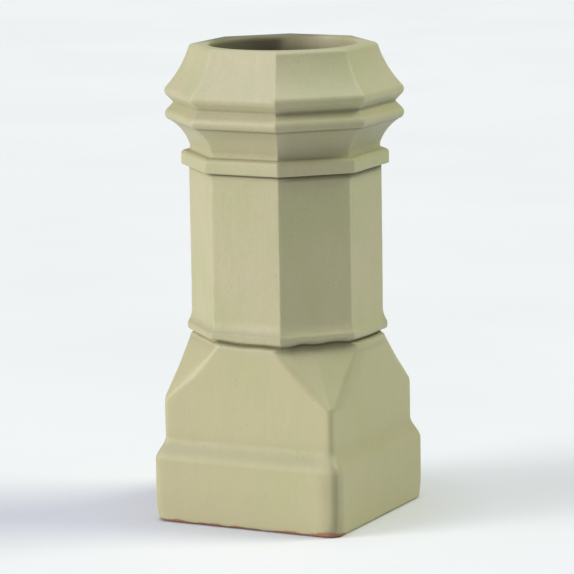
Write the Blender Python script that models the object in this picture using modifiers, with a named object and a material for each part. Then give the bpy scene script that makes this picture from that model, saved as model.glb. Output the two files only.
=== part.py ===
"""Octagonal chimney pot on a square base: one hollow piece of glazed fireclay.

The foot stands on z = 0 and the flue runs up the z axis. Sizes are in metres.
Widths are measured across opposite faces. The base keeps its height when the
overall height changes, the head hangs from the top, and the shaft fills the rest.
"""

import math

import bmesh
import bpy
from mathutils import Matrix, Vector

# Whole pot
OVERALL_HEIGHT = 0.750
FLUE_DIAMETER = 0.234
WALL = 0.025

# Square base, from the foot up
PLINTH_WIDTH = 0.324
PLINTH_HEIGHT = 0.098
OGEE_HEIGHT = 0.0375
BLOCK_WIDTH = 0.2975
BLOCK_HEIGHT = 0.0565
BROACH_HEIGHT = 0.093
SHOULDER_HEIGHT = 0.010
FOOT_ARRIS = 0.005
FOOT_CORNER_RADIUS = 0.018
FOOT_CORNER_HEIGHT = 0.040
CORNER_RADIUS = 0.005

# Foot of the shaft, whose roll is as round as the joint under it is deep
JOINT_HEIGHT = 0.010
JOINT_DEPTH = 0.011
SHAFT_ROLL_WIDTH = 0.296
SHAFT_FLARE_HEIGHT = 0.020
SHAFT_FLARE_HOLLOW = 0.0012
SHAFT_WIDTH = 0.283

# Ring and neck under the head
RING_WIDTH = 0.3055
RING_HEIGHT = 0.0235
RING_CROWN_RADIUS = 0.011
RING_ARRIS = 0.003
NECK_WIDTH = 0.280
NECK_HEIGHT = 0.0085

# Cove, twin rolls and sloping top of the head
COVE_HEIGHT = 0.0385
COVE_HOLLOW = 0.0042
QUIRK = 0.001
ROLL_WIDTH = 0.351
ROLL_RADIUS = 0.0115
ROLL_SPACING = 0.0365
ROLL_GROOVE_DEPTH = 0.0125
SLOPE_HEIGHT = 0.0744
SLOPE_HOLLOW = 0.0037
TOP_WIDTH = 0.2775
LIP_RADIUS = 0.008
MOUTH_RADIUS = 0.004

# Angles up from level at which a roll's round meets what is above and below it
ROLL_TO_SLOPE = 43
ROLL_TO_GROOVE = 50
ROLL_TO_QUIRK = 60
LIP_TO_SLOPE = 20
SHAFT_ROLL_TO_FLARE = 35

# How finely the rounds are stepped
ARC_STEPS = 6
CORNER_STEPS = 3
OGEE_STEPS = 10
FLUE_SIDES = 64

OCTAGON = 8
SQUARE = 4
SMOOTH_BELOW = 20
MERGE = 0.00001

# How far a cutter runs past the faces it opens
CUT_MARGIN = 0.020
# How far the shaft's core reaches down into the base, and the base's top into that core
CORE_OVERLAP = 0.030
SEAT_OVERLAP = 0.004

BASE_TOP = PLINTH_HEIGHT + OGEE_HEIGHT + BLOCK_HEIGHT + BROACH_HEIGHT
JOINT_HALF = SHAFT_ROLL_WIDTH / 2 - JOINT_DEPTH
DIAGONAL = math.sqrt(2.0)

GLAZE_COLOUR = (0.50, 0.48, 0.31, 1.0)
GLAZE_ROUGHNESS = 0.42


def clear_scene():
    """Take every object out of the open file."""
    for obj in list(bpy.data.objects):
        bpy.data.objects.remove(obj, do_unlink=True)


def new_collection(name):
    """A collection linked to the scene."""
    collection = bpy.data.collections.new(name)
    bpy.context.scene.collection.children.link(collection)
    return collection


def glaze_material():
    """Greenish buff salt glaze with a soft shine."""
    material = bpy.data.materials.new("buff_glaze")
    material.use_nodes = True
    shader = material.node_tree.nodes["Principled BSDF"]
    shader.inputs["Base Color"].default_value = GLAZE_COLOUR
    shader.inputs["Roughness"].default_value = GLAZE_ROUGHNESS
    shader.inputs["Metallic"].default_value = 0.0
    return material


def round_arc(centre, radius, start, end, steps=ARC_STEPS):
    """Points of a circular arc in the (half width, height) plane, angles in degrees up from level."""
    points = []
    for step in range(steps + 1):
        angle = math.radians(start + (end - start) * step / steps)
        points.append((centre[0] + radius * math.cos(angle), centre[1] + radius * math.sin(angle)))
    return points


def hollow_curve(start, end, hollow, steps=ARC_STEPS):
    """Inner points of a shallow curve from start down to end, sunk by hollow towards the axis at its middle."""
    run = end[0] - start[0]
    drop = start[1] - end[1]
    length = math.hypot(run, drop)
    points = []
    for step in range(1, steps):
        share = step / steps
        sunk = 4.0 * hollow * share * (1.0 - share)
        half = start[0] + run * share - sunk * drop / length
        height = start[1] - drop * share - sunk * run / length
        points.append((half, height))
    return points


def head_profile():
    """The sloping top, twin rolls, cove, neck and ring, from the axis at the top down to the shaft."""
    roll_centre = ROLL_WIDTH / 2 - ROLL_RADIUS
    upper_roll = (roll_centre, OVERALL_HEIGHT - SLOPE_HEIGHT)
    lower_roll = (roll_centre, upper_roll[1] - ROLL_SPACING)
    groove = (ROLL_WIDTH / 2 - ROLL_GROOVE_DEPTH, upper_roll[1] - ROLL_SPACING / 2)

    lip_reach = LIP_RADIUS * math.cos(math.radians(LIP_TO_SLOPE))
    lip = round_arc(
        (TOP_WIDTH / 2 - lip_reach, OVERALL_HEIGHT - LIP_RADIUS), LIP_RADIUS, 90, LIP_TO_SLOPE
    )
    upper = round_arc(upper_roll, ROLL_RADIUS, ROLL_TO_SLOPE, -ROLL_TO_GROOVE, 2 * ARC_STEPS)
    lower = round_arc(lower_roll, ROLL_RADIUS, ROLL_TO_GROOVE, -ROLL_TO_QUIRK, 2 * ARC_STEPS)

    neck_half = NECK_WIDTH / 2
    neck_top = (neck_half, lower[-1][1] - COVE_HEIGHT)
    cove_top = (lower[-1][0] - QUIRK, lower[-1][1])
    ring_top = neck_top[1] - NECK_HEIGHT
    ring_bottom = ring_top - RING_HEIGHT
    crown = round_arc(
        (RING_WIDTH / 2 - RING_CROWN_RADIUS, ring_top - RING_CROWN_RADIUS), RING_CROWN_RADIUS, 90, 0
    )
    arris = round_arc(
        (RING_WIDTH / 2 - RING_ARRIS, ring_bottom + RING_ARRIS), RING_ARRIS, 0, -90
    )

    profile = [(0.0, OVERALL_HEIGHT)]
    profile += lip + hollow_curve(lip[-1], upper[0], SLOPE_HOLLOW)
    profile += upper + [groove] + lower
    profile += [cove_top] + hollow_curve(cove_top, neck_top, COVE_HOLLOW) + [neck_top]
    profile += [(neck_half, ring_top)] + crown + arris
    profile += [(SHAFT_WIDTH / 2, ring_bottom)]
    return profile


def shaft_profile():
    """The flare, the roll and the joint at the foot of the shaft, down to the axis inside the base."""
    roll_bottom = BASE_TOP + JOINT_HEIGHT
    roll = round_arc((JOINT_HALF, roll_bottom + JOINT_DEPTH), JOINT_DEPTH, SHAFT_ROLL_TO_FLARE, -90)
    flare_top = (SHAFT_WIDTH / 2, roll[0][1] + SHAFT_FLARE_HEIGHT)
    core_bottom = BASE_TOP - CORE_OVERLAP

    profile = [flare_top] + hollow_curve(flare_top, roll[0], SHAFT_FLARE_HOLLOW) + roll
    profile += [(JOINT_HALF, core_bottom), (0.0, core_bottom)]
    return profile


def turned(name, profile, sides, collection):
    """A solid swept round the z axis, with its faces square to x and y where it has few sides."""
    to_corner = 1.0 / math.cos(math.pi / sides)
    mesh = bpy.data.meshes.new(name)
    points = [(half * to_corner, 0.0, height) for half, height in profile]
    mesh.from_pydata(points, [(i, i + 1) for i in range(len(points) - 1)], [])
    obj = bpy.data.objects.new(name, mesh)
    obj.rotation_euler.z = math.pi / sides
    collection.objects.link(obj)

    screw = obj.modifiers.new("sweep", "SCREW")
    screw.axis = "Z"
    screw.steps = sides
    screw.render_steps = sides
    screw.use_merge_vertices = True
    screw.merge_threshold = MERGE
    return obj


def broach_diagonal(height):
    """Distance from the axis to the sloping corner facets at a height, which starts at the block's corners."""
    fall = BASE_TOP - height
    return JOINT_HALF + (BLOCK_WIDTH / 2 * DIAGONAL - JOINT_HALF) * fall / BROACH_HEIGHT


def eased(low, high, share):
    """A value that leaves low and reaches high gently, as an ogee does."""
    return low + (high - low) * (1.0 - math.cos(math.pi * share)) / 2.0


def base_sections():
    """Height, half width, diagonal half width and corner radius of the base's sections, foot to top."""
    plinth = PLINTH_WIDTH / 2
    block = BLOCK_WIDTH / 2
    ogee_top = PLINTH_HEIGHT + OGEE_HEIGHT
    block_top = ogee_top + BLOCK_HEIGHT
    shoulder = BASE_TOP - SHOULDER_HEIGHT
    facets = broach_diagonal(shoulder)
    seat = JOINT_HALF - SEAT_OVERLAP
    sections = []

    for half, height in round_arc((plinth - FOOT_ARRIS, FOOT_ARRIS), FOOT_ARRIS, -90, 0):
        sections.append((height, half, half * DIAGONAL, FOOT_CORNER_RADIUS))
    for step in range(1, ARC_STEPS + 1):
        share = step / ARC_STEPS
        height = FOOT_ARRIS + (FOOT_CORNER_HEIGHT - FOOT_ARRIS) * share
        radius = CORNER_RADIUS + (FOOT_CORNER_RADIUS - CORNER_RADIUS) * (1.0 - share) ** 2
        sections.append((height, plinth, plinth * DIAGONAL, radius))
    sections.append((PLINTH_HEIGHT, plinth, plinth * DIAGONAL, CORNER_RADIUS))
    for step in range(1, OGEE_STEPS + 1):
        share = step / OGEE_STEPS
        half = eased(plinth, block, share)
        sections.append((PLINTH_HEIGHT + OGEE_HEIGHT * share, half, half * DIAGONAL, CORNER_RADIUS))
    sections.append((block_top, block, block * DIAGONAL, CORNER_RADIUS))
    sections.append((shoulder, block, facets, CORNER_RADIUS))
    for step in range(1, ARC_STEPS + 1):
        angle = math.radians(90 * step / ARC_STEPS)
        inward = 1.0 - math.cos(angle)
        half = block + (seat - block) * inward
        diagonal = facets + (seat - facets) * inward
        sections.append((shoulder + SHOULDER_HEIGHT * math.sin(angle), half, diagonal, CORNER_RADIUS))
    return sections


def section_outline(half, diagonal, radius):
    """A square with its corners cut at a diagonal distance from the axis and every edge then rounded."""
    inner = half - radius
    cut = min((diagonal - radius) * DIAGONAL - inner, inner)
    outline = []
    for quarter in range(SQUARE):
        turn = Matrix.Rotation(quarter * math.pi / 2, 2)
        for centre, first in ((Vector((inner, cut)), 0), (Vector((cut, inner)), 45)):
            for step in range(CORNER_STEPS + 1):
                angle = math.radians(first + 45 * step / CORNER_STEPS)
                outline.append(turn @ (centre + radius * Vector((math.cos(angle), math.sin(angle)))))
    return outline


def base_mesh():
    """The base as a loft from the square foot to the octagonal seat of the shaft."""
    mesh = bpy.data.meshes.new("chimney_pot")
    bm = bmesh.new()
    rings = []
    for height, half, diagonal, radius in base_sections():
        outline = section_outline(half, diagonal, radius)
        rings.append([bm.verts.new((x, y, height)) for x, y in outline])
    count = len(rings[0])
    for lower, upper in zip(rings, rings[1:]):
        for i in range(count):
            j = (i + 1) % count
            bm.faces.new((lower[i], lower[j], upper[j], upper[i]))
    bm.faces.new(list(reversed(rings[0])))
    bm.faces.new(rings[-1])
    bmesh.ops.remove_doubles(bm, verts=bm.verts, dist=MERGE)
    bmesh.ops.recalc_face_normals(bm, faces=bm.faces)
    bm.to_mesh(mesh)
    bm.free()
    return mesh


def flue_profile():
    """The round flue with its softened mouth, right through the pot."""
    half = FLUE_DIAMETER / 2
    to_side = math.cos(math.pi / FLUE_SIDES)
    mouth = round_arc((half + MOUTH_RADIUS, OVERALL_HEIGHT - MOUTH_RADIUS), MOUTH_RADIUS, 90, 180)
    profile = [(0.0, OVERALL_HEIGHT + CUT_MARGIN), (half + MOUTH_RADIUS, OVERALL_HEIGHT + CUT_MARGIN)]
    profile += mouth + [(half, -CUT_MARGIN), (0.0, -CUT_MARGIN)]
    return [(radius * to_side, height) for radius, height in profile]


def hollow_profile():
    """The square hollow of the base, a wall inside the plinth, ogee, block and broach."""
    plinth = PLINTH_WIDTH / 2 - WALL
    block = BLOCK_WIDTH / 2 - WALL
    ogee_top = PLINTH_HEIGHT + OGEE_HEIGHT
    corner_rise = BROACH_HEIGHT / (broach_diagonal(BASE_TOP - BROACH_HEIGHT) - broach_diagonal(BASE_TOP))
    slant_wall = WALL * math.hypot(1.0, corner_rise) / corner_rise
    top = (broach_diagonal(BASE_TOP) - slant_wall) / DIAGONAL
    taper_start = BASE_TOP - (block - top) * DIAGONAL * corner_rise
    return [(0.0, BASE_TOP), (top, BASE_TOP), (block, taper_start), (block, ogee_top),
            (plinth, PLINTH_HEIGHT), (plinth, -CUT_MARGIN), (0.0, -CUT_MARGIN)]


def add_boolean(obj, other, operation):
    """Join or cut the pot with another solid."""
    modifier = obj.modifiers.new(other.name, "BOOLEAN")
    modifier.operation = operation
    modifier.solver = "EXACT"
    modifier.object = other
    other.hide_render = True
    other.display_type = "WIRE"


def apply_modifiers(obj):
    """Keep the modelled result as the object's own mesh, smooth on its rounds and crisp at its arrises."""
    bpy.context.view_layer.update()
    evaluated = obj.evaluated_get(bpy.context.evaluated_depsgraph_get())
    mesh = bpy.data.meshes.new_from_object(evaluated)
    obj.modifiers.clear()
    obj.data = mesh
    mesh.shade_smooth()
    mesh.set_sharp_from_angle(angle=math.radians(SMOOTH_BELOW))


def build_pot():
    """The chimney pot: the base, joined to the octagonal shaft and head, then hollowed."""
    parts = new_collection("chimney_pot")
    cutters = new_collection("cutters")

    pot = bpy.data.objects.new("chimney_pot", base_mesh())
    parts.objects.link(pot)

    upper = turned("shaft_and_head", head_profile() + shaft_profile(), OCTAGON, cutters)
    flue = turned("flue", flue_profile(), FLUE_SIDES, cutters)
    hollow = turned("base_hollow", hollow_profile(), SQUARE, cutters)
    add_boolean(pot, upper, "UNION")
    add_boolean(pot, flue, "DIFFERENCE")
    add_boolean(pot, hollow, "DIFFERENCE")
    apply_modifiers(pot)

    pot.data.materials.clear()
    pot.data.materials.append(glaze_material())
    return pot


def main():
    clear_scene()
    build_pot()


main()
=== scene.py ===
import math

import bmesh
import bpy
from mathutils import Matrix, Vector, noise


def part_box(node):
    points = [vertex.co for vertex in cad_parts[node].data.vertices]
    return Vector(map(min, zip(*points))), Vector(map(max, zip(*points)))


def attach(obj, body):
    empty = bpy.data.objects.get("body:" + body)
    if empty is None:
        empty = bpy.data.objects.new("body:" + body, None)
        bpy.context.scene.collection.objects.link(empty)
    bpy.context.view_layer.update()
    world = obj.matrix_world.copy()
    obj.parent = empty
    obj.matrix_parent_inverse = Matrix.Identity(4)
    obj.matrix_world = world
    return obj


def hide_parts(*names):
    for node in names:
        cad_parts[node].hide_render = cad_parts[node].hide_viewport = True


# An octagonal chimney pot on a square base, pressed from fireclay under a satin buff-green glaze.
# Sizes are in metres. Widths are measured across opposite faces, and heights from the floor.

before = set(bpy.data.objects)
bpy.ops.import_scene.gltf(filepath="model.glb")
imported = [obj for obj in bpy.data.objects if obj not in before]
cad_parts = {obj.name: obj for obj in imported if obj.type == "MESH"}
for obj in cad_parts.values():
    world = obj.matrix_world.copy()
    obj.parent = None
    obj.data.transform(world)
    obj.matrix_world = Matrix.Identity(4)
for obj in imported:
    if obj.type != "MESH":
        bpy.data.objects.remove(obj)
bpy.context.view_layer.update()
pot_low, pot_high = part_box("chimney_pot")

# The frame gives the height and the width over the twin rolls
OVERALL_HEIGHT = pot_high.z - pot_low.z
ROLL_WIDTH = pot_high.x - pot_low.x
FLUE_DIAMETER = 0.234
WALL = 0.025

# Square base, from the foot up
PLINTH_WIDTH = 0.324
PLINTH_HEIGHT = 0.098
OGEE_HEIGHT = 0.0375
BLOCK_WIDTH = 0.2975
BLOCK_HEIGHT = 0.0565
BROACH_HEIGHT = 0.097
SHOULDER_HEIGHT = 0.005
FOOT_ARRIS = 0.005
FOOT_CORNER_RADIUS = 0.022
FOOT_CORNER_HEIGHT = 0.045
PLINTH_CORNER_RADIUS = 0.013
BLOCK_CORNER_RADIUS = 0.010
BROACH_EDGE_RADIUS = 0.032

# Foot of the shaft
JOINT_HEIGHT = 0.0024
JOINT_DEPTH = 0.011
SHAFT_ROLL_WIDTH = 0.296
SHAFT_ROLL_LOWER_RADIUS = 0.0065
SHAFT_FLARE_HEIGHT = 0.020
SHAFT_FLARE_HOLLOW = 0.0012
SHAFT_WIDTH = 0.283
SHAFT_ARRIS = 0.003

# Ring and neck under the head
RING_WIDTH = 0.3055
RING_HEIGHT = 0.0250
RING_CROWN_RADIUS = 0.007
RING_ARRIS = 0.003
NECK_WIDTH = 0.280
NECK_HEIGHT = 0.0080
RING_UNDERCUT_DEPTH = 0.0016
RING_UNDERCUT_HEIGHT = 0.0036

# Cove, twin rolls and sloping top of the head
COVE_HEIGHT = 0.0385
COVE_HOLLOW = 0.0042
QUIRK = 0.001
ROLL_RADIUS = 0.0115
ROLL_SPACING = 0.0365
ROLL_GROOVE_DEPTH = 0.0125
SLOPE_HEIGHT = 0.0744
SLOPE_HOLLOW = 0.0037
TOP_WIDTH = 0.2775
LIP_RADIUS = 0.008
MOUTH_RADIUS = 0.004

# Angles up from level, in degrees, at which a roll's round meets what is above and below it
ROLL_TO_SLOPE = 43
ROLL_TO_GROOVE = 50
ROLL_TO_QUIRK = 60
LIP_TO_SLOPE = 20
SHAFT_ROLL_TO_FLARE = 35

BASE_TOP = PLINTH_HEIGHT + OGEE_HEIGHT + BLOCK_HEIGHT + BROACH_HEIGHT
JOINT_HALF = SHAFT_ROLL_WIDTH / 2 - JOINT_DEPTH
SEAT_OVERLAP = 0.004
DIAGONAL = math.sqrt(2.0)

# Painted shade in the grooves: how far it reaches, and how far it lies above or below a groove's corner
SHADE_REACH = 0.0030
SHADE_RISE = 0.0010
SHADE_FALL = 0.0025

# The painted shade differs round the pot: azimuths in degrees where its left, front and right parts meet
SHADE_LEFT_END = -22
SHADE_FRONT_END = 22
SHADE_RIGHT_END = 112
SHADE_SIDE_FADE = 8

# How dark the painted shade is in each groove, on the left, front and right parts
ROLL_GROOVE_SHADE = (0.35, 0.40, 0.70)
COVE_TOP_SHADE = (0.75, 0.85, 0.95)
UNDERCUT_SHADE = (0.75, 1.0, 1.0)
SHAFT_TOP_SHADE = (0.0, 0.1, 0.85)
JOINT_SHADE = (0.10, 0.60, 0.05)

# Painted shadow on the right of the front edge: how strong and how far down it goes below the joint,
# and painted shade: how strong it is on the rest of the broach, and how far it reaches onto the face
# beside it
SEAT_SHADOW = 0.60
SEAT_SHADOW_REACH = 0.010
BROACH_SHADE = 0.15
FACE_SHADE_REACH = 0.045

# Painted shade in the cove under the rolls, least on the lit left and front, and how quickly it fades as a
# share of the cove
COVE_SHADE_LEAST = 0.3
COVE_SHADE_FADE = 0.25

# Painted shade on the ogee and the shaft's roll, dimming their lit upper faces: its middle and its reach,
# as shares of the ogee's height and of the joint's depth
OGEE_SHADE_MIDDLE = 0.55
OGEE_SHADE_REACH = 0.45
ROLL_SHADE_MIDDLE = 1.4
ROLL_SHADE_REACH = 0.7

# How finely the skin is divided
RING_SPACING = 0.0034
INNER_SPACING = 0.016
ARC_STEPS = 7
FACE_STEPS = 36
FACET_STEPS = 20
ARRIS_STEPS = 3

# How near an arris a point on a facet starts to count as worn, and how near two points are one
NARROW_FACET = 0.010
MERGE = 0.0001

# Unevenness of the pressed clay, the waviness of the joint and the wear of the foot:
# how deep, and how far apart or how far up
WARP_DEPTH = 0.0009
WARP_SPAN = 0.16
RIPPLE_DEPTH = 0.00035
RIPPLE_SPAN = 0.030
RIPPLE_START = Vector((7.0, 3.0, 1.0))
JOINT_WAVE = 0.0016
JOINT_WAVE_REACH = 0.014
JOINT_WAVE_SPAN = 0.045
JOINT_SAG = 0.0008
FOOT_WEAR_LEAST = 0.0004
FOOT_WEAR_CORNER = 0.0010
FOOT_WEAR_REACH = 0.030
FOOT_WEAR_SPAN = 0.035
FOOT_WEAR_POWER = 1.5

# Where the joint dips or rises most: azimuth and spread in degrees, and how far up
JOINT_BENDS = ((25, 8, -0.0005), (36, 6, 0.0030), (59, 12, 0.0042), (-20, 9, 0.0030), (88, 12, -0.0010))

# Viewing angle of the photograph, in degrees and metres, with the lens in millimetres
VIEW_AZIMUTH = 26.70
VIEW_DISTANCE = 5.494
VIEW_HEIGHT = 1.3045
VIEW_AIM_HEIGHT = 0.360
VIEW_ROLL = -0.927
LENS = 220
FARTHEST_VIEW = 100.0

# Plain floor: its size, how far it lies below the foot, and its shades
FLOOR_SIZE = 60.0
FLOOR_GAP = 0.0002
FLOOR_SPAN = 0.8
FLOOR_LEVELS = (0.3, 0.7)
FLOOR_DARK = (0.64, 0.64, 0.64, 1.0)
FLOOR_LIGHT = (0.66, 0.66, 0.66, 1.0)
FLOOR_ROUGHNESS = 0.9


def round_arc(centre, radius, start, end, steps=ARC_STEPS):
    """Points of a circular arc in the (half width, height) plane, angles in degrees up from level."""
    points = []
    for step in range(steps + 1):
        angle = math.radians(start + (end - start) * step / steps)
        points.append((centre[0] + radius * math.cos(angle), centre[1] + radius * math.sin(angle)))
    return points


def hollow_curve(start, end, hollow, steps=2 * ARC_STEPS):
    """Inner points of a shallow curve from start to end, sunk by hollow towards the axis at its middle."""
    run = end[0] - start[0]
    drop = start[1] - end[1]
    length = math.hypot(run, drop)
    points = []
    for step in range(1, steps):
        share = step / steps
        sunk = 4.0 * hollow * share * (1.0 - share)
        half = start[0] + run * share - sunk * drop / length
        height = start[1] - drop * share - sunk * run / length
        points.append((half, height))
    return points


def spaced(values, spacing):
    """Number tuples with equal steps put in wherever two neighbours are further apart than spacing."""
    filled = [values[0]]
    for before, after in zip(values, values[1:]):
        apart = math.dist(before[:2], after[:2])
        parts = max(1, math.ceil(apart / spacing))
        for part in range(1, parts + 1):
            share = part / parts
            filled.append(tuple(a + (b - a) * share for a, b in zip(before, after)))
    return filled


def head_profile():
    """The rim, sloping top, twin rolls, cove, neck and ring as (half width, height), top to bottom."""
    roll_centre = ROLL_WIDTH / 2 - ROLL_RADIUS
    upper_roll = (roll_centre, OVERALL_HEIGHT - SLOPE_HEIGHT)
    lower_roll = (roll_centre, upper_roll[1] - ROLL_SPACING)
    groove = (ROLL_WIDTH / 2 - ROLL_GROOVE_DEPTH, upper_roll[1] - ROLL_SPACING / 2)

    lip_reach = LIP_RADIUS * math.cos(math.radians(LIP_TO_SLOPE))
    lip_centre = (TOP_WIDTH / 2 - lip_reach, OVERALL_HEIGHT - LIP_RADIUS)
    lip = round_arc(lip_centre, LIP_RADIUS, 90, LIP_TO_SLOPE)
    upper = round_arc(upper_roll, ROLL_RADIUS, ROLL_TO_SLOPE, -ROLL_TO_GROOVE, 2 * ARC_STEPS)
    lower = round_arc(lower_roll, ROLL_RADIUS, ROLL_TO_GROOVE, -ROLL_TO_QUIRK, 2 * ARC_STEPS)

    neck_half = NECK_WIDTH / 2
    cove_top = (lower[-1][0] - QUIRK, lower[-1][1])
    neck_top = (neck_half, lower[-1][1] - COVE_HEIGHT)
    ring_top = neck_top[1] - NECK_HEIGHT
    ring_bottom = ring_top - RING_HEIGHT
    crown_centre = (RING_WIDTH / 2 - RING_CROWN_RADIUS, ring_top - RING_CROWN_RADIUS)
    arris_centre = (RING_WIDTH / 2 - RING_ARRIS, ring_bottom + RING_ARRIS)

    profile = lip + hollow_curve(lip[-1], upper[0], SLOPE_HOLLOW) + upper + [groove] + lower
    profile += [cove_top] + hollow_curve(cove_top, neck_top, COVE_HOLLOW) + [neck_top]
    profile += [(neck_half, ring_top)] + round_arc(crown_centre, RING_CROWN_RADIUS, 90, 0)
    undercut = (SHAFT_WIDTH / 2 - RING_UNDERCUT_DEPTH, ring_bottom)
    profile += round_arc(arris_centre, RING_ARRIS, 0, -90) + [undercut]
    profile += [(undercut[0], ring_bottom - RING_UNDERCUT_HEIGHT / 2)]
    profile += [(SHAFT_WIDTH / 2, ring_bottom - RING_UNDERCUT_HEIGHT)]
    # Places where shade is painted: the roll groove, under the lower roll, under the ring and at the top
    # of the shaft
    hollows = [(groove[0], groove[1] + SHADE_RISE, ROLL_GROOVE_SHADE)]
    hollows += [(cove_top[0], cove_top[1] - SHADE_FALL, COVE_TOP_SHADE)]
    hollows += [(undercut[0], undercut[1] - SHADE_RISE, UNDERCUT_SHADE)]
    hollows += [(SHAFT_WIDTH / 2, undercut[1] - 2 * SHADE_FALL, SHAFT_TOP_SHADE)]
    return profile, hollows, (cove_top[1], ring_top)


def shaft_profile():
    """The flare, the roll and the joint at the foot of the shaft, top to bottom."""
    roll_bottom = BASE_TOP + JOINT_HEIGHT
    roll = round_arc((JOINT_HALF, roll_bottom + JOINT_DEPTH), JOINT_DEPTH, SHAFT_ROLL_TO_FLARE, 0)
    lower_centre = (SHAFT_ROLL_WIDTH / 2 - SHAFT_ROLL_LOWER_RADIUS, roll_bottom + SHAFT_ROLL_LOWER_RADIUS)
    roll += round_arc(lower_centre, SHAFT_ROLL_LOWER_RADIUS, 0, -90) + [(JOINT_HALF, roll_bottom)]
    flare_top = (SHAFT_WIDTH / 2, roll[0][1] + SHAFT_FLARE_HEIGHT)
    profile = [flare_top] + hollow_curve(flare_top, roll[0], SHAFT_FLARE_HOLLOW) + roll
    return profile, [(roll[-1][0], roll[-1][1], JOINT_SHADE)]


def broach_diagonal(height):
    """Distance from the axis to the sloping corner facets, which start at the block's corners."""
    fall = BASE_TOP - height
    return JOINT_HALF + (BLOCK_WIDTH / 2 * DIAGONAL - JOINT_HALF) * fall / BROACH_HEIGHT


def eased(start, end, share):
    """A value that leaves start and reaches end gently, as an ogee does."""
    return start + (end - start) * (1.0 - math.cos(math.pi * share)) / 2.0


def base_sections():
    """Half width, height, diagonal half width and corner radius of the base's sections, foot to top."""
    plinth = PLINTH_WIDTH / 2
    block = BLOCK_WIDTH / 2
    ogee_top = PLINTH_HEIGHT + OGEE_HEIGHT
    block_top = ogee_top + BLOCK_HEIGHT
    shoulder = BASE_TOP - SHOULDER_HEIGHT
    facets = broach_diagonal(shoulder)
    seat = JOINT_HALF - SEAT_OVERLAP
    sections = []

    for half, height in round_arc((plinth - FOOT_ARRIS, FOOT_ARRIS), FOOT_ARRIS, -90, 0):
        sections.append((half, height, half * DIAGONAL, FOOT_CORNER_RADIUS))
    for step in range(1, 2 * ARC_STEPS + 1):
        share = step / (2 * ARC_STEPS)
        height = FOOT_ARRIS + (FOOT_CORNER_HEIGHT - FOOT_ARRIS) * share
        radius = PLINTH_CORNER_RADIUS + (FOOT_CORNER_RADIUS - PLINTH_CORNER_RADIUS) * (1.0 - share) ** 2
        sections.append((plinth, height, plinth * DIAGONAL, radius))
    sections.append((plinth, PLINTH_HEIGHT, plinth * DIAGONAL, PLINTH_CORNER_RADIUS))
    for step in range(1, 2 * ARC_STEPS + 1):
        share = step / (2 * ARC_STEPS)
        half = eased(plinth, block, share)
        radius = eased(PLINTH_CORNER_RADIUS, BLOCK_CORNER_RADIUS, share)
        sections.append((half, PLINTH_HEIGHT + OGEE_HEIGHT * share, half * DIAGONAL, radius))
    sections.append((block, block_top, block * DIAGONAL, BLOCK_CORNER_RADIUS))
    broach_half = (block_top + shoulder) / 2
    sections.append((block, broach_half, (block * DIAGONAL + facets) / 2, BROACH_EDGE_RADIUS))
    sections.append((block, shoulder, facets, BLOCK_CORNER_RADIUS))
    for step in range(1, ARC_STEPS + 1):
        angle = math.radians(90 * step / ARC_STEPS)
        inward = 1.0 - math.cos(angle)
        half = max(block + (seat - block) * inward, JOINT_HALF)
        diagonal = max(facets + (seat - facets) * inward, JOINT_HALF)
        radius = BLOCK_CORNER_RADIUS + (SHAFT_ARRIS - BLOCK_CORNER_RADIUS) * step / ARC_STEPS
        sections.append((half, shoulder + SHOULDER_HEIGHT * math.sin(angle), diagonal, radius))
    return sections


def outer_sections():
    """The outside's sections from foot to rim, the points in grooves, and the cove's top and foot."""
    head, head_hollows, cove = head_profile()
    shaft, shaft_hollows = shaft_profile()
    upper = [(half, height, half, SHAFT_ARRIS) for half, height in reversed(head + shaft)]
    seat = [(JOINT_HALF, BASE_TOP, JOINT_SHADE)]
    sections = spaced(base_sections() + upper, RING_SPACING)
    return sections, head_hollows + shaft_hollows + seat, cove


def section_outline(half, diagonal, radius):
    """A square with its corners cut at a diagonal distance from the axis and every edge then rounded.

    Returns (point, closeness to an arris) pairs, anticlockwise from the middle of the +X face.
    """
    inner = half - radius
    cut = min((diagonal - radius) * DIAGONAL - inner, inner)
    first, second = Vector((inner, cut)), Vector((cut, inner))
    quarter = []
    steps = FACE_STEPS // 2
    for step in range(steps):
        quarter.append((Vector((half, cut * step / steps)), step / steps))
    for step in range(ARRIS_STEPS):
        angle = math.radians(45 * step / ARRIS_STEPS)
        quarter.append((first + radius * Vector((math.cos(angle), math.sin(angle))), 1.0))
    slant = radius * Vector((1.0, 1.0)) / DIAGONAL
    facet_width = (second - first).length
    for step in range(FACET_STEPS):
        share = step / FACET_STEPS
        to_arris = facet_width * min(share, 1.0 - share)
        closeness = max(1.0 - to_arris / NARROW_FACET, abs(2 * share - 1))
        quarter.append(((first + slant).lerp(second + slant, share), closeness))
    for step in range(ARRIS_STEPS):
        angle = math.radians(45 + 45 * step / ARRIS_STEPS)
        quarter.append((second + radius * Vector((math.cos(angle), math.sin(angle))), 1.0))
    for step in range(steps):
        share = step / steps
        quarter.append((Vector((cut * (1 - share), half)), 1 - share))

    outline = []
    for quarter_turn in range(4):
        turn = Matrix.Rotation(quarter_turn * math.pi / 2, 2)
        outline += [(turn @ point, closeness) for point, closeness in quarter]
    return outline


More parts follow.
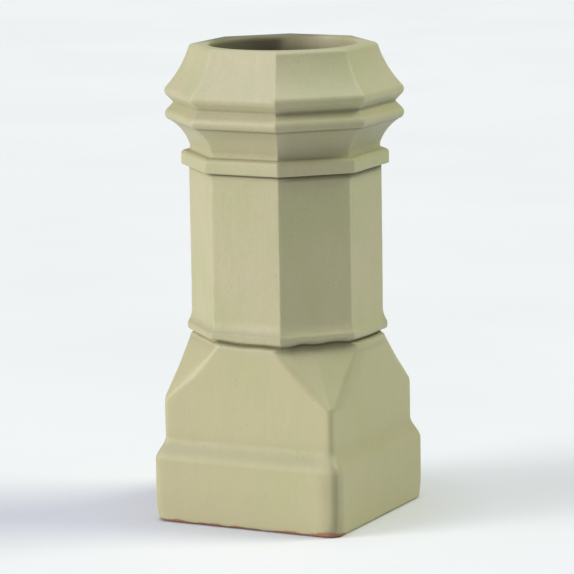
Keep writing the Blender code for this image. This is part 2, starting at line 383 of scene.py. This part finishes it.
def inner_sections():
    """Round radius, square half width and height of the inside, from the rim down to the foot."""
    flue = FLUE_DIAMETER / 2
    plinth = PLINTH_WIDTH / 2 - WALL
    block = BLOCK_WIDTH / 2 - WALL
    ogee_top = PLINTH_HEIGHT + OGEE_HEIGHT
    corner_rise = BROACH_HEIGHT / (broach_diagonal(BASE_TOP - BROACH_HEIGHT) - broach_diagonal(BASE_TOP))
    slant_wall = WALL * math.hypot(1.0, corner_rise) / corner_rise
    top = (broach_diagonal(BASE_TOP) - slant_wall) / DIAGONAL
    taper_start = BASE_TOP - (block - top) * DIAGONAL * corner_rise
    mouth = round_arc((flue + MOUTH_RADIUS, OVERALL_HEIGHT - MOUTH_RADIUS), MOUTH_RADIUS, 90, 180)
    sections = [(radius, height, 0.0) for radius, height in mouth]
    sections += [(flue, BASE_TOP, top), (flue, taper_start, block), (flue, ogee_top, block)]
    sections += [(flue, PLINTH_HEIGHT, plinth), (flue, 0.0, plinth)]
    return spaced(sections, INNER_SPACING)


def inner_reach(direction, radius, square):
    """Distance from the axis to the inside surface, where a round flue and a square hollow meet."""
    widest = max(abs(direction.x), abs(direction.y))
    return max(radius, square / widest)


def azimuth_of(point):
    """Degrees round the axis from the middle of the -Y face towards +X, from -180 to 180."""
    return math.degrees(math.atan2(point.x, -point.y))


def sides_at(point):
    """Shares of the pot's left, front and right parts at a point; the back counts as front."""
    azimuth = azimuth_of(point)
    on_left = min(1.0, max(0.0, (SHADE_LEFT_END - azimuth) / SHADE_SIDE_FADE))
    on_left *= min(1.0, max(0.0, (azimuth + SHADE_RIGHT_END) / SHADE_SIDE_FADE))
    on_right = min(1.0, max(0.0, (azimuth - SHADE_FRONT_END) / SHADE_SIDE_FADE))
    on_right *= min(1.0, max(0.0, (SHADE_RIGHT_END - azimuth) / SHADE_SIDE_FADE))
    return on_left, 1.0 - on_left - on_right, on_right


def octagon_half(point):
    """Half the width of the upright octagon that passes through a point."""
    across, along = abs(point.x), abs(point.y)
    return max(across, along, (across + along) / DIAGONAL)


def hollow_shade(point, height, hollows):
    """How dark the painted shade is: most in a groove, with painted shadow below the joint and painted
    shade on a broach.
    """
    half = octagon_half(point)
    sides = sides_at(point)
    shaded = 0.0
    for groove_half, groove_height, strengths in hollows:
        away = math.dist((half, height), (groove_half, groove_height))
        share = sum(side * strength for side, strength in zip(sides, strengths))
        shaded = max(shaded, share * math.exp(-((away / SHADE_REACH) ** 2)))
    fall = BASE_TOP - height
    if 0.0 < fall < BROACH_HEIGHT:
        facet = broach_diagonal(height)
        # Painted shadow below the joint and painted shade over the broach, on the right
        painted_shading = SEAT_SHADOW * math.exp(-((fall / SEAT_SHADOW_REACH) ** 2))
        painted_shading += BROACH_SHADE * (1.0 - fall / BROACH_HEIGHT)
        on_facet = math.exp(-(((half - facet) / SHADE_REACH) ** 2))
        shaded = max(shaded, sides[2] * painted_shading * on_facet)
        from_facet = facet * DIAGONAL - point.x + point.y
        if point.x > -point.y:
            on_face = math.exp(-((from_facet / FACE_SHADE_REACH) ** 2))
            shaded = max(shaded, sides[2] * BROACH_SHADE * on_face)
    return shaded


def cove_shade(point, height, cove):
    """Painted shade over most of the cove, fading out at its foot and a little above its top."""
    top, foot = cove
    share = (height - foot) / (top - foot)
    depth = max(0.0, min(1.0, share / COVE_SHADE_FADE, (1.0 - share) / COVE_SHADE_FADE + 1.0))
    return depth * (COVE_SHADE_LEAST + (1.0 - COVE_SHADE_LEAST) * sides_at(point)[2])


def sweep_shade(point, height):
    """1 on the ogee of the base and on part of the shaft's roll, where painted shade dims their lit upper
    faces.
    """
    ogee = PLINTH_HEIGHT + OGEE_SHADE_MIDDLE * OGEE_HEIGHT
    roll = BASE_TOP + JOINT_HEIGHT + ROLL_SHADE_MIDDLE * JOINT_DEPTH
    on_ogee = math.exp(-(((height - ogee) / (OGEE_SHADE_REACH * OGEE_HEIGHT)) ** 2))
    on_roll = math.exp(-(((height - roll) / (ROLL_SHADE_REACH * JOINT_DEPTH)) ** 2))
    return max(on_ogee, on_roll * (1.0 - sides_at(point)[2]))


def unevenness(point):
    """How far the hand-finished surface lies inside its true face."""
    warp = 0.5 + 0.5 * noise.noise(point / WARP_SPAN)
    ripple = 0.5 + 0.5 * noise.noise(point / RIPPLE_SPAN + RIPPLE_START)
    return WARP_DEPTH * warp + RIPPLE_DEPTH * ripple


def joint_lift(point):
    """The wavy line of the luted joint: how far a point beside it is pushed up or down."""
    above = point.z - (BASE_TOP + JOINT_HEIGHT / 2)
    near = math.exp(-((above / JOINT_WAVE_REACH) ** 2))
    lift = JOINT_SAG + JOINT_WAVE * noise.noise(Vector((point.x, point.y, 0.0)) / JOINT_WAVE_SPAN)
    azimuth = azimuth_of(point)
    for middle, spread, bend in JOINT_BENDS:
        lift += bend * math.exp(-(((azimuth - middle) / spread) ** 2))
    return lift * near


def foot_wear(point):
    """How far the worn lower edge of the foot stands off the floor."""
    low = max(0.0, 1.0 - point.z / FOOT_WEAR_REACH)
    from_corner = math.dist((point.x, point.y), (-PLINTH_WIDTH / 2, -PLINTH_WIDTH / 2)) / PLINTH_WIDTH
    wear = FOOT_WEAR_LEAST + FOOT_WEAR_CORNER * max(0.0, 1.0 - from_corner)
    wear *= 1.0 + 0.5 * noise.noise(point / FOOT_WEAR_SPAN)
    return wear * low ** FOOT_WEAR_POWER


def pot_mesh():
    """One closed skin, outside and inside, with its arrises and inside marked for the glaze, and its
    hollows, cove and sweeps marked for painted shade.
    """
    bm = bmesh.new()
    painted_hollow_shade = bm.verts.layers.float.new("painted_hollow_shade")
    painted_cove_shade = bm.verts.layers.float.new("painted_cove_shade")
    painted_sweep_shade = bm.verts.layers.float.new("painted_sweep_shade")
    on_arris = bm.verts.layers.float.new("on_arris")
    inside = bm.verts.layers.float.new("inside")
    sections, hollows, cove = outer_sections()
    rings = []
    for half, height, diagonal, radius in sections:
        ring = []
        for point, closeness in section_outline(half, diagonal, radius):
            vert = bm.verts.new((point.x, point.y, height))
            # Painted shade in the hollows, in the cove and on the sweeps, kept on each point
            vert[painted_hollow_shade] = hollow_shade(point, height, hollows)
            vert[painted_cove_shade] = cove_shade(point, height, cove)
            vert[painted_sweep_shade] = sweep_shade(point, height)
            vert[on_arris] = closeness
            ring.append(vert)
        rings.append(ring)
    directions = [Vector((vert.co.x, vert.co.y)).normalized() for vert in rings[-1]]
    for radius, height, square in inner_sections():
        ring = []
        for direction in directions:
            point = direction * inner_reach(direction, radius, square)
            vert = bm.verts.new((point.x, point.y, height))
            vert[inside] = 1.0
            ring.append(vert)
        rings.append(ring)

    count = len(rings[0])
    for lower, upper in zip(rings, rings[1:] + rings[:1]):
        for i in range(count):
            j = (i + 1) % count
            bm.faces.new((lower[i], lower[j], upper[j], upper[i]))

    bmesh.ops.remove_doubles(bm, verts=bm.verts, dist=MERGE)
    bmesh.ops.recalc_face_normals(bm, faces=bm.faces)
    bm.normal_update()
    shifts = []
    for vert in bm.verts:
        if vert[inside] > 0.5:
            continue
        normal = vert.normal.copy()
        if vert.co.z < FOOT_ARRIS or vert.co.z > OVERALL_HEIGHT - LIP_RADIUS:
            normal.z = 0.0
        shift = -normal * unevenness(vert.co)
        shift.z += joint_lift(vert.co) + foot_wear(vert.co)
        shifts.append((vert, shift))
    for vert, shift in shifts:
        vert.co += shift

    mesh = bpy.data.meshes.new("glazed_pot")
    bm.to_mesh(mesh)
    bm.free()
    return mesh


class Recipe:
    """Builds one material out of nodes."""

    def __init__(self, name):
        self.material = bpy.data.materials.new(name)
        self.material.use_nodes = True
        self.tree = self.material.node_tree
        self.shader = self.tree.nodes["Principled BSDF"]
        self.place = self.add("ShaderNodeTexCoord").outputs["Object"]
        split = self.add("ShaderNodeSeparateXYZ")
        self.feed(split.inputs[0], self.place)
        self.x, self.y, self.z = split.outputs

    def add(self, kind, **settings):
        node = self.tree.nodes.new(kind)
        for name, value in settings.items():
            setattr(node, name, value)
        return node

    def feed(self, socket, value):
        """Joins a socket to another node's output, or sets it to a plain value."""
        if isinstance(value, bpy.types.NodeSocket):
            self.tree.links.new(value, socket)
        else:
            socket.default_value = value

    def clouds(self, span, detail=2.0, stretch=(1.0, 1.0, 1.0), start=0.0):
        """Soft random values from 0 to 1 whose patches are about span across."""
        mapping = self.add("ShaderNodeMapping")
        self.feed(mapping.inputs["Vector"], self.place)
        self.feed(mapping.inputs["Location"], (start, start, start))
        self.feed(mapping.inputs["Scale"], [1.0 / (span * along) for along in stretch])
        texture = self.add("ShaderNodeTexNoise")
        self.feed(texture.inputs["Vector"], mapping.outputs["Vector"])
        self.feed(texture.inputs["Scale"], 1.0)
        self.feed(texture.inputs["Detail"], detail)
        return texture.outputs["Fac"]

    def mark(self, name):
        """A value kept on the mesh's own points."""
        return self.add("ShaderNodeAttribute", attribute_name=name).outputs["Fac"]

    def between(self, value, low, high, start=0.0, end=1.0):
        """Goes smoothly from start to end as value goes from low to high."""
        node = self.add("ShaderNodeMapRange", interpolation_type="SMOOTHSTEP")
        self.feed(node.inputs["Value"], value)
        self.feed(node.inputs["From Min"], low)
        self.feed(node.inputs["From Max"], high)
        self.feed(node.inputs["To Min"], start)
        self.feed(node.inputs["To Max"], end)
        return node.outputs["Result"]

    def maths(self, operation, first, second=0.0):
        node = self.add("ShaderNodeMath", operation=operation)
        self.feed(node.inputs[0], first)
        self.feed(node.inputs[1], second)
        return node.outputs[0]

    def times(self, first, second):
        return self.maths("MULTIPLY", first, second)

    def plus(self, first, second):
        return self.maths("ADD", first, second)

    def most(self, first, second):
        return self.maths("MAXIMUM", first, second)

    def along_axis(self, axis):
        """How far a point lies from the pot's own axis in a level direction (x, y)."""
        return self.plus(self.times(self.x, axis[0]), self.times(self.y, axis[1]))

    def blend(self, share, first, second, way="MIX"):
        """Mixes two colours."""
        node = self.add("ShaderNodeMix", data_type="RGBA", blend_type=way)
        self.feed(node.inputs[0], share)
        self.feed(node.inputs[6], first)
        self.feed(node.inputs[7], second)
        return node.outputs[2]


BUFF = (0.414, 0.386, 0.247, 1.0)
GREEN = (0.376, 0.376, 0.217, 1.0)
ROSE = (0.440, 0.386, 0.270, 1.0)
OLIVE = (0.405, 0.384, 0.212, 1.0)
# Dark glaze for the grain, and the colour of the painted shade in the cove, on the sweeps and by the front
# corner
DARK_GLAZE_AND_SHADE = (0.175, 0.160, 0.085, 1.0)
# Colour of the painted shade in the grooves, under the ring and below the joint
GROOVE = (0.085, 0.070, 0.038, 1.0)
THIN = (0.455, 0.431, 0.310, 1.0)
CLAY = (0.300, 0.150, 0.090, 1.0)
# Soot in the flue, also the colour of the painted shade up one side of the mouth and of the darker band on
# the rim
SOOT = (0.060, 0.052, 0.034, 1.0)
SPECK = (0.180, 0.145, 0.080, 1.0)

# Glaze clouds: how far apart, between which noise levels they come in, and how strong at most
GREEN_SPAN = 0.110
GREEN_LEVELS = (0.36, 0.70)
ROSE_SPAN = 0.070
ROSE_LEVELS = (0.48, 0.74)
ROSE_SHARE = 0.6
STREAK_SPAN = 0.012
STREAK_LENGTHS = (1.0, 1.0, 9.0)
STREAK_LEVELS = (0.35, 0.70)
STREAK_SHARE = 0.35
GRAIN_SPAN = 0.0045
GRAIN_LEVELS = (0.30, 0.70)
GRAIN_SHARE = 0.07
OLIVE_FADE = 0.030
OLIVE_SHARE = 0.5

# Painted shade on either side of the base's front corner, as places from the axis, heights and strengths
CORNER_SHADE_Y = -0.147
CORNER_SHADE_WIDTHS = (0.001, 0.016)
CORNER_SHADE_FACE = (0.148, 0.158)
CORNER_SHADE_SHARE = 0.30
FRONT_SHADE_CORNER = (0.284, 0.315)
FRONT_SHADE_FACE = (-0.156, -0.150)
FRONT_SHADE_SHARE = 0.42
CORNER_SHADE_FADE_LOW = (0.075, 0.125)
CORNER_SHADE_FADE_HIGH = (0.170, 0.200)
CORNER_SHADE_SHARE_ABOVE = 0.25

# Arrises worn thin, less on the base than above it
ARRIS_LEVELS = (0.90, 1.0)
WORN_SPAN = 0.020
WORN_LEVELS = (0.35, 0.70)
WORN_FADE = 0.01
WORN_SHARE_BASE = 0.06
WORN_SHARE_ABOVE = 0.32

# Painted shade in the cove, on the sweeps and in the grooves
COVE_SHADE_SHARE = 0.22
SWEEP_SHADE_SHARE = 0.22
GROOVE_SHADE_SHARE = 0.90

# Iron specks: cells to a metre, which cells hold one, how wide it is in its cell, and how dark
SPECK_CELLS = 190.0
SPECK_CHOSEN = (0.955, 0.965)
SPECK_WIDTHS = (0.10, 0.24)
SPECK_SHARE = 0.55

# Bare clay at the foot: a ragged line, lower on the +X side and higher at the front corner
BARE_SPAN = 0.024
BARE_RAGGED = 0.012
BARE_SIDE = (0.150, 0.160)
BARE_SIDE_DROP = 0.0035
BARE_CORNER = (0.262, 0.310)
BARE_CORNER_RISE = 0.0055
BARE_FADE = (-0.0030, -0.0010)

# Soot deep in the flue, painted shade up one side of its mouth, and a darker band on one side of the rim.
# The axes are level directions (x, y) across the pot.
SOOT_DEPTH = 0.075
SOOT_OVER_RIM = 0.012
MOUTH_SHADE_AXIS = (0.893, 0.449)
MOUTH_SHADE_SPAN = 0.030
MOUTH_SHADE_RAGGED = 0.030
MOUTH_SHADE_REACH = 0.034
MOUTH_SHADE_SHARE = 0.78
MOUTH_SHADE_BELOW_RIM = 0.010
RIM_AXIS = (-0.449, 0.893)
RIM_REACH = 0.070
RIM_SHARE = 0.75
RIM_SIDE = (-0.020, 0.030)
RIM_SIDE_SHARE = 0.35
RIM_DEPTHS = (0.005, 0.001)
SOOT_AND_SHADE_SHARE = 0.96

# Satin finish: roughness of the glaze and of bare or sooty clay, and the heights of its fine relief
ROUGH_SPAN = 0.030
ROUGH_LEVELS = (0.30, 0.70)
GLAZE_ROUGHNESS = (0.46, 0.53)
BARE_ROUGHNESS = 0.88
PEEL_SPAN = 0.0032
PEEL_HEIGHT = 0.00012
DRAG_SPAN = 0.010
DRAG_LENGTHS = (1.0, 1.0, 3.5)
DRAG_HEIGHT = 0.0004


def cloudy_glaze(recipe):
    """Buff glaze with green and rose clouds, faint runs down the pot and more olive on the base."""
    green = recipe.between(recipe.clouds(GREEN_SPAN, 2.0, start=3.0), *GREEN_LEVELS)
    rosy = recipe.between(recipe.clouds(ROSE_SPAN, 3.0, start=11.0), *ROSE_LEVELS, 0.0, ROSE_SHARE)
    runs = recipe.clouds(STREAK_SPAN, 2.0, STREAK_LENGTHS, start=5.0)
    runs = recipe.between(runs, *STREAK_LEVELS, 0.0, STREAK_SHARE)
    grain = recipe.between(recipe.clouds(GRAIN_SPAN, 3.0, start=17.0), *GRAIN_LEVELS)
    colour = recipe.blend(green, BUFF, GREEN)
    colour = recipe.blend(rosy, colour, ROSE)
    colour = recipe.blend(runs, colour, GREEN)
    colour = recipe.blend(recipe.times(grain, GRAIN_SHARE), colour, DARK_GLAZE_AND_SHADE)
    low = recipe.between(recipe.z, BASE_TOP - OLIVE_FADE, BASE_TOP, OLIVE_SHARE, 0.0)
    return recipe.blend(low, colour, OLIVE)


def corner_shade(recipe):
    """Painted shade on either side of the base's front corner."""
    off_line = recipe.maths("ABSOLUTE", recipe.plus(recipe.y, -CORNER_SHADE_Y))
    side_shade = recipe.between(off_line, *CORNER_SHADE_WIDTHS, CORNER_SHADE_SHARE, 0.0)
    side_shade = recipe.times(side_shade, recipe.between(recipe.x, *CORNER_SHADE_FACE))
    to_corner = recipe.maths("SUBTRACT", recipe.x, recipe.y)
    front_shade = recipe.between(to_corner, *FRONT_SHADE_CORNER, 0.0, FRONT_SHADE_SHARE)
    front_shade = recipe.times(front_shade, recipe.between(recipe.y, *FRONT_SHADE_FACE, 1.0, 0.0))
    painted_shading = recipe.most(side_shade, front_shade)
    painted_shading = recipe.times(painted_shading, recipe.between(recipe.z, *CORNER_SHADE_FADE_LOW, 1.0, CORNER_SHADE_SHARE_ABOVE))
    return recipe.times(painted_shading, recipe.between(recipe.z, *CORNER_SHADE_FADE_HIGH, 1.0, 0.0))


def worn_arrises(recipe):
    """Where the glaze is thin along the arrises."""
    arris = recipe.between(recipe.mark("on_arris"), *ARRIS_LEVELS)
    patches = recipe.between(recipe.clouds(WORN_SPAN, 3.0, start=23.0), *WORN_LEVELS)
    low, high = BASE_TOP - WORN_FADE, BASE_TOP + WORN_FADE
    strength = recipe.between(recipe.z, low, high, WORN_SHARE_BASE, WORN_SHARE_ABOVE)
    return recipe.times(recipe.times(arris, patches), strength)


def iron_specks(recipe):
    """Small dark dots in a few cells of a random pattern."""
    cells = recipe.add("ShaderNodeTexVoronoi", feature="F1")
    recipe.feed(cells.inputs["Vector"], recipe.place)
    recipe.feed(cells.inputs["Scale"], SPECK_CELLS)
    pick = recipe.add("ShaderNodeSeparateColor")
    recipe.feed(pick.inputs[0], cells.outputs["Color"])
    chosen = recipe.between(pick.outputs[0], *SPECK_CHOSEN)
    dot = recipe.between(cells.outputs["Distance"], *SPECK_WIDTHS, 1.0, 0.0)
    return recipe.times(recipe.times(chosen, dot), SPECK_SHARE)


def bare_foot(recipe):
    """Where the clay is bare along the lower edge."""
    ragged = recipe.times(recipe.clouds(BARE_SPAN, 4.0, start=31.0), -BARE_RAGGED)
    side = recipe.between(recipe.x, *BARE_SIDE, 0.0, BARE_SIDE_DROP)
    to_corner = recipe.maths("SUBTRACT", recipe.x, recipe.y)
    corner = recipe.between(to_corner, *BARE_CORNER, 0.0, -BARE_CORNER_RISE)
    line = recipe.plus(recipe.plus(recipe.z, ragged), recipe.plus(side, corner))
    return recipe.between(line, *BARE_FADE, 1.0, 0.0)


def soot_and_shade(recipe):
    """Soot in the flue, painted shade up one side of its mouth, and a darker band over one side of the
    rim.
    """
    rim_low, rim_high = (OVERALL_HEIGHT - depth for depth in RIM_DEPTHS)
    bottom, top = OVERALL_HEIGHT - SOOT_DEPTH, OVERALL_HEIGHT + SOOT_OVER_RIM
    deep = recipe.between(recipe.z, bottom, top, 1.0, 0.0)
    # Painted shade on the mouth's inner wall on the -X side, which faces away from the key light
    ragged = recipe.times(recipe.clouds(MOUTH_SHADE_SPAN, 3.0, start=71.0), MOUTH_SHADE_RAGGED)
    mouth_shade = recipe.plus(recipe.along_axis(MOUTH_SHADE_AXIS), ragged)
    mouth_shade = recipe.between(mouth_shade, 0.0, MOUTH_SHADE_REACH, MOUTH_SHADE_SHARE, 0.0)
    below_rim = recipe.between(recipe.z, OVERALL_HEIGHT - MOUTH_SHADE_BELOW_RIM, rim_high, 1.0, 0.0)
    mouth_shade = recipe.times(mouth_shade, below_rim)
    within = recipe.times(recipe.mark("inside"), recipe.most(deep, mouth_shade))
    rim = recipe.between(recipe.z, rim_low, rim_high)
    rim = recipe.times(rim, recipe.between(recipe.along_axis(RIM_AXIS), 0.0, RIM_REACH, 0.0, RIM_SHARE))
    rim = recipe.times(rim, recipe.between(recipe.x, *RIM_SIDE, 1.0, RIM_SIDE_SHARE))
    return recipe.most(within, rim)


def satin_finish(recipe, unglazed):
    """Uneven roughness, and the fine peel and drag marks of a dipped glaze."""
    rough = recipe.clouds(ROUGH_SPAN, 3.0, start=41.0)
    rough = recipe.between(rough, *ROUGH_LEVELS, *GLAZE_ROUGHNESS)
    rough = recipe.most(rough, recipe.times(unglazed, BARE_ROUGHNESS))
    recipe.feed(recipe.shader.inputs["Roughness"], rough)
    peel = recipe.times(recipe.clouds(PEEL_SPAN, 2.0, start=53.0), PEEL_HEIGHT)
    drag = recipe.times(recipe.clouds(DRAG_SPAN, 3.0, DRAG_LENGTHS, start=59.0), DRAG_HEIGHT)
    bump = recipe.add("ShaderNodeBump")
    recipe.feed(bump.inputs["Height"], recipe.plus(peel, drag))
    recipe.feed(bump.inputs["Strength"], 1.0)
    recipe.feed(bump.inputs["Distance"], 1.0)
    recipe.feed(recipe.shader.inputs["Normal"], bump.outputs["Normal"])


def glaze_material():
    """Satin glaze with painted shade in the grooves, the cove, the sweeps, by the front corner and up one
    side of the mouth; thin at arrises, bare at the foot and sooty in the flue.
    """
    recipe = Recipe("buff_green_glaze")
    bare = bare_foot(recipe)
    sooted_and_shaded = soot_and_shade(recipe)
    colour = cloudy_glaze(recipe)
    # Painted shade on either side of the base's front corner
    colour = recipe.blend(corner_shade(recipe), colour, DARK_GLAZE_AND_SHADE)
    colour = recipe.blend(worn_arrises(recipe), colour, THIN)
    # Painted shade in the cove under the rolls
    colour = recipe.blend(recipe.times(recipe.mark("painted_cove_shade"), COVE_SHADE_SHARE), colour, DARK_GLAZE_AND_SHADE)
    # Painted shade dimming the lit upper faces of the ogee and the shaft's roll
    colour = recipe.blend(recipe.times(recipe.mark("painted_sweep_shade"), SWEEP_SHADE_SHARE), colour, DARK_GLAZE_AND_SHADE)
    # Painted shade in the grooves, under the ring, below the joint and on the broach
    colour = recipe.blend(recipe.times(recipe.mark("painted_hollow_shade"), GROOVE_SHADE_SHARE), colour, GROOVE)
    colour = recipe.blend(iron_specks(recipe), colour, SPECK)
    colour = recipe.blend(bare, colour, CLAY)
    # Soot in the flue, painted shade in the mouth and the darker band on the rim
    colour = recipe.blend(recipe.times(sooted_and_shaded, SOOT_AND_SHADE_SHARE), colour, SOOT)
    recipe.feed(recipe.shader.inputs["Base Color"], colour)
    satin_finish(recipe, recipe.most(bare, sooted_and_shaded))
    return recipe.material


def build_pot():
    """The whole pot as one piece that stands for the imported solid."""
    mesh = pot_mesh()
    mesh.shade_smooth()
    pot = bpy.data.objects.new("glazed_pot", mesh)
    bpy.context.scene.collection.objects.link(pot)
    mesh.materials.append(glaze_material())
    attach(pot, "root")
    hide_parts("chimney_pot")
    return pot


def floor_material():
    recipe = Recipe("pale_floor")
    shade = recipe.between(recipe.clouds(FLOOR_SPAN, 2.0), *FLOOR_LEVELS)
    recipe.feed(recipe.shader.inputs["Base Color"], recipe.blend(shade, FLOOR_DARK, FLOOR_LIGHT))
    recipe.feed(recipe.shader.inputs["Roughness"], FLOOR_ROUGHNESS)
    return recipe.material


def build_floor():
    """A plain pale floor under the foot."""
    mesh = bpy.data.meshes.new("floor")
    half = FLOOR_SIZE / 2
    corners = [(-half, -half, 0.0), (half, -half, 0.0), (half, half, 0.0), (-half, half, 0.0)]
    mesh.from_pydata(corners, [], [(0, 1, 2, 3)])
    floor = bpy.data.objects.new("floor", mesh)
    floor.location.z = pot_low.z - FLOOR_GAP
    bpy.context.scene.collection.objects.link(floor)
    mesh.materials.append(floor_material())


def direction_from(azimuth, elevation):
    """Unit vector towards something seen from the pot, by azimuth and elevation in degrees."""
    turn, rise = math.radians(azimuth), math.radians(elevation)
    return Vector((math.sin(turn) * math.cos(rise), -math.cos(turn) * math.cos(rise), math.sin(rise)))


# Name, azimuth and elevation in degrees, strength in watts per square metre, colour
LIGHTS = (
    ("key", -45, 12, 2.59, (1.00, 0.92, 0.81)),
    ("fill", -45, 45, 0.78, (0.75, 0.86, 1.00)),
    ("back", 120, 45, 1.98, (0.96, 1.00, 0.75)),
    ("top", 0, 88, 1.55, (0.68, 0.74, 1.00)),
)
LIGHT_SPREAD = 28
WORLD_COLOUR = (1.0, 0.98, 0.94, 1.0)
WORLD_STRENGTH = 0.28


def build_lights():
    """Wide soft lights far enough away to light the whole floor evenly, and a pale surround."""
    for name, azimuth, elevation, strength, colour in LIGHTS:
        light = bpy.data.lights.new(name, "SUN")
        light.angle = math.radians(LIGHT_SPREAD)
        light.energy = strength
        light.color = colour
        lamp = bpy.data.objects.new(name, light)
        towards = direction_from(azimuth, elevation)
        lamp.location = towards * VIEW_DISTANCE
        lamp.rotation_euler = towards.to_track_quat("Z", "Y").to_euler()
        bpy.context.scene.collection.objects.link(lamp)
    world = bpy.data.worlds.new("studio")
    world.use_nodes = True
    background = world.node_tree.nodes["Background"]
    background.inputs["Color"].default_value = WORLD_COLOUR
    background.inputs["Strength"].default_value = WORLD_STRENGTH
    bpy.context.scene.world = world


def build_camera():
    """The photograph's viewing angle, with the pot filling the picture's height."""
    camera = bpy.data.cameras.new("camera")
    camera.lens = LENS
    camera.clip_end = FARTHEST_VIEW
    turn = math.radians(VIEW_AZIMUTH)
    place = Vector((math.sin(turn) * VIEW_DISTANCE, -math.cos(turn) * VIEW_DISTANCE, VIEW_HEIGHT))
    aim = Vector((0.0, 0.0, VIEW_AIM_HEIGHT))
    holder = bpy.data.objects.new("camera", camera)
    level = (aim - place).to_track_quat("-Z", "Y").to_matrix().to_4x4()
    roll = Matrix.Rotation(math.radians(VIEW_ROLL), 4, "Z")
    holder.matrix_world = Matrix.Translation(place) @ level @ roll
    bpy.context.scene.collection.objects.link(holder)
    bpy.context.scene.camera = holder


build_pot()
build_floor()
build_lights()
build_camera()
bpy.context.scene.view_settings.view_transform = "Standard"
